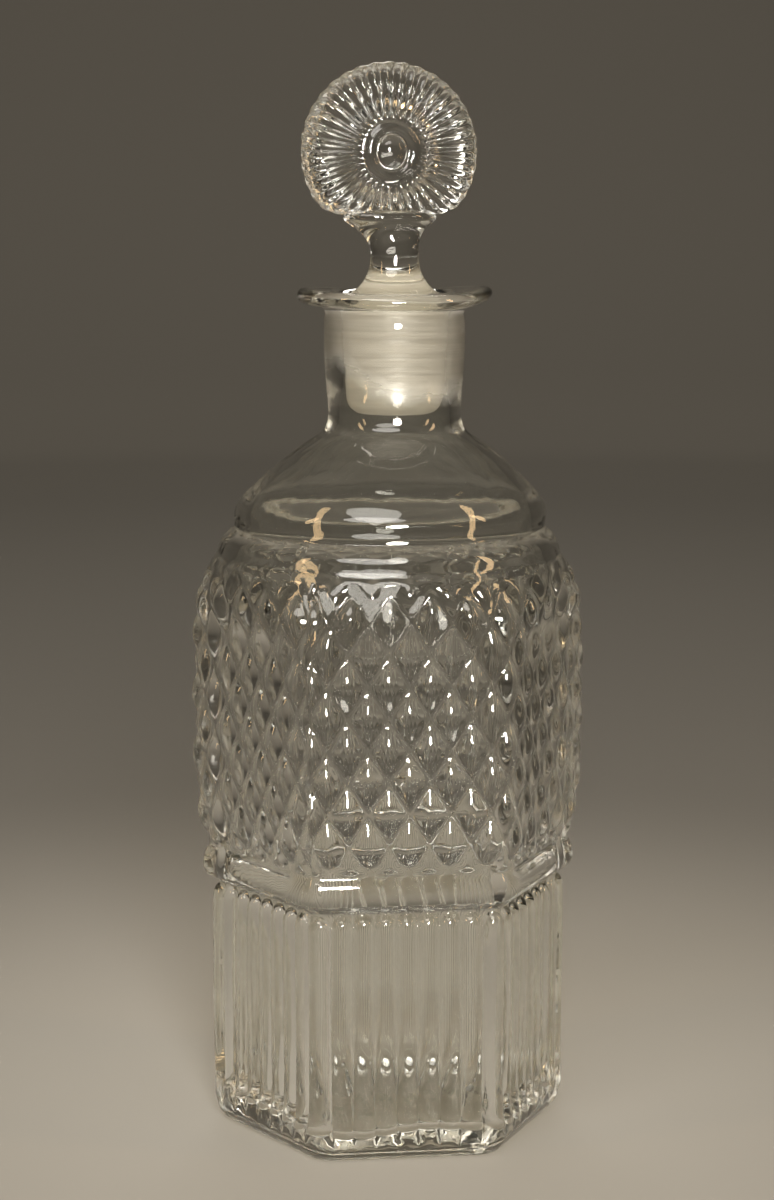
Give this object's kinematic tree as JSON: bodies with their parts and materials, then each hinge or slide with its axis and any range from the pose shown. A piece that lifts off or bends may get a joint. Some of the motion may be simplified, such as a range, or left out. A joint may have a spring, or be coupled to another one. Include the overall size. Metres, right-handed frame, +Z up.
{
  "type": "perfume bottle",
  "caption": "Tall six-sided pressed glass perfume bottle with ribbed foot, diamond-point body, flat lip and a ground-in fluted disc stopper.",
  "frame": {"origin": "centre of the flat base, on the surface it stands on", "axes": "+Z up along the bottle, -Y out of the front face, a body corner on +X"},
  "size_m": [0.0852, 0.0794, 0.229],
  "materials": {
    "clear_glass": "clear pressed glass, fire-polished, faint grey-green tint, soft mould ripples",
    "stopper_glass": "clear pressed glass above a finely ground, frosted taper"
  },
  "bodies": {
    "bottle": {"bottle": "clear_glass"},
    "stopper": {"stopper": "stopper_glass"}
  },
  "joints": [
    {"name": "stopper_lift", "type": "slide", "parent": "bottle", "child": "stopper", "axis": [0, 0, 1], "range_m": [0, 0.05]}
  ]
}
